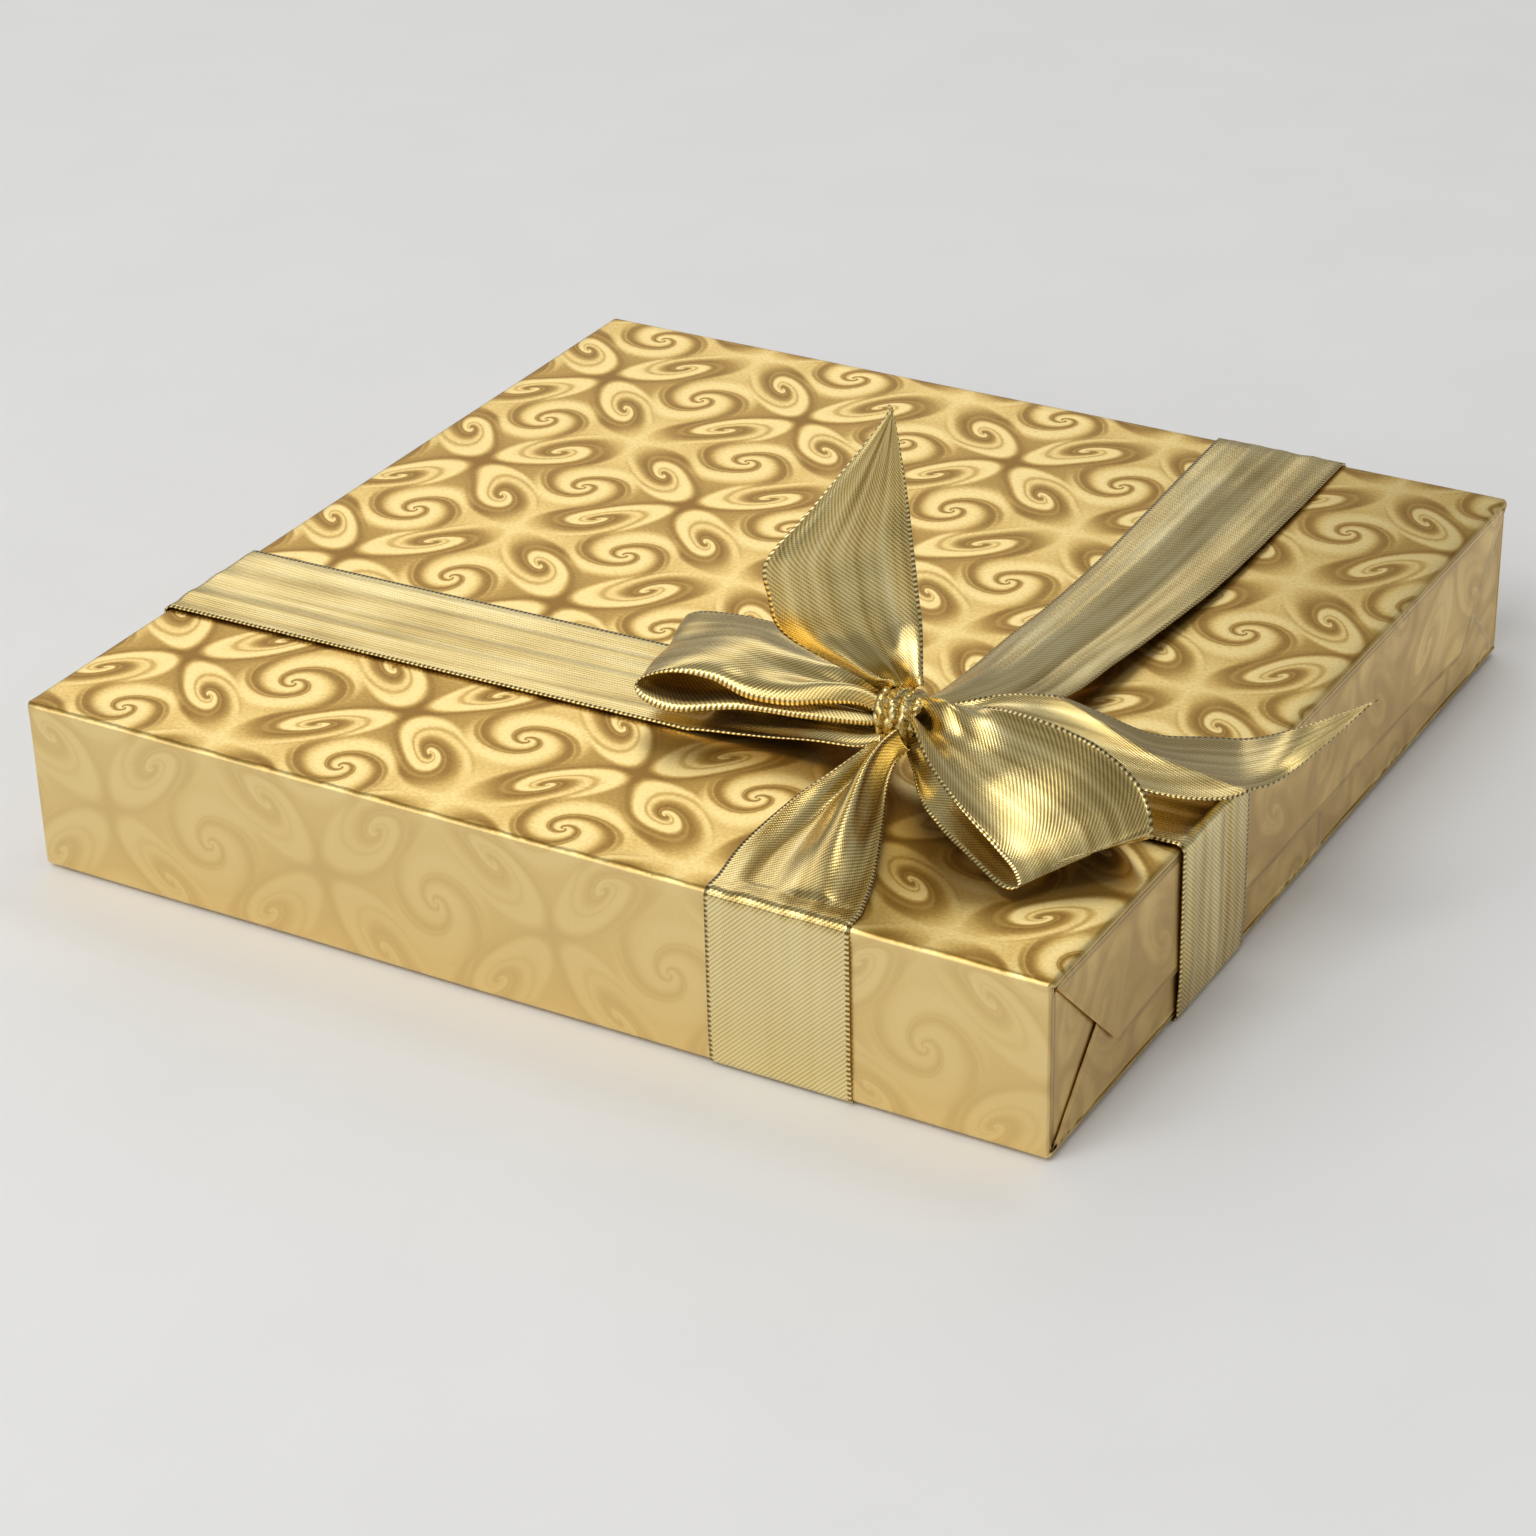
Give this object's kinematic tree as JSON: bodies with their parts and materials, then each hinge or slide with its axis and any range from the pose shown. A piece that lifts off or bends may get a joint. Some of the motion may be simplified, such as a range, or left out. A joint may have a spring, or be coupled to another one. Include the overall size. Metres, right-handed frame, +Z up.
{
  "type": "gift-wrapped chocolate box",
  "caption": "Flat square gift box wrapped in pale gold patterned paper, tied both ways with wide metallic gold ribbon in an off-centre bow.",
  "frame": {"origin": "on the surface that the box stands on, at the middle of the footprint, the overhanging tail of the bow included", "axes": "+X along the front edge towards the end where the bow's tail hangs over, +Y to the back, +Z up"},
  "size_m": [0.207, 0.1878, 0.0913],
  "materials": {
    "wrapping": "thin pearly paper with a metallic sheen and a swirl pattern",
    "tape": "thin double-sided tape",
    "ribbon": "woven metallic twill with bright selvedges",
    "box_card": "smooth white-lined board",
    "pad_paper": "soft embossed padding paper",
    "tray_plastic": "formed gold-coloured sheet",
    "dark_chocolate": "tempered dark chocolate, satin",
    "milk_chocolate": "tempered milk chocolate, satin",
    "white_chocolate": "white chocolate, satin"
  },
  "bodies": {
    "root": {"wrapping_paper": "wrapping", "seam_tape": "tape", "left_flap_tape": "tape", "right_flap_tape": "tape", "ribbon_long_band": "ribbon", "ribbon_cross_band": "ribbon", "bow_knot": "ribbon", "bow_left_loop": "ribbon", "bow_right_loop": "ribbon", "bow_upright_tail": "ribbon", "bow_right_tail": "ribbon", "box_lid": "box_card", "box_base": "box_card", "cushion_pad": "pad_paper", "chocolate_tray": "tray_plastic", "square_praline_1": "dark_chocolate", "square_praline_2": "dark_chocolate", "square_praline_3": "dark_chocolate", "square_praline_4": "dark_chocolate", "square_praline_5": "dark_chocolate", "bar_praline_1": "milk_chocolate", "bar_praline_2": "milk_chocolate", "bar_praline_3": "milk_chocolate", "bar_praline_4": "milk_chocolate", "bar_praline_5": "milk_chocolate", "round_praline_1": "dark_chocolate", "round_praline_2": "dark_chocolate", "round_praline_3": "dark_chocolate", "round_praline_4": "dark_chocolate", "round_praline_5": "dark_chocolate", "hexagon_praline_1": "milk_chocolate", "hexagon_praline_2": "milk_chocolate", "hexagon_praline_3": "milk_chocolate", "hexagon_praline_4": "milk_chocolate", "hexagon_praline_5": "milk_chocolate", "faceted_praline_1": "white_chocolate", "faceted_praline_2": "white_chocolate", "faceted_praline_3": "white_chocolate", "faceted_praline_4": "white_chocolate", "faceted_praline_5": "white_chocolate"}
  },
  "joints": []
}
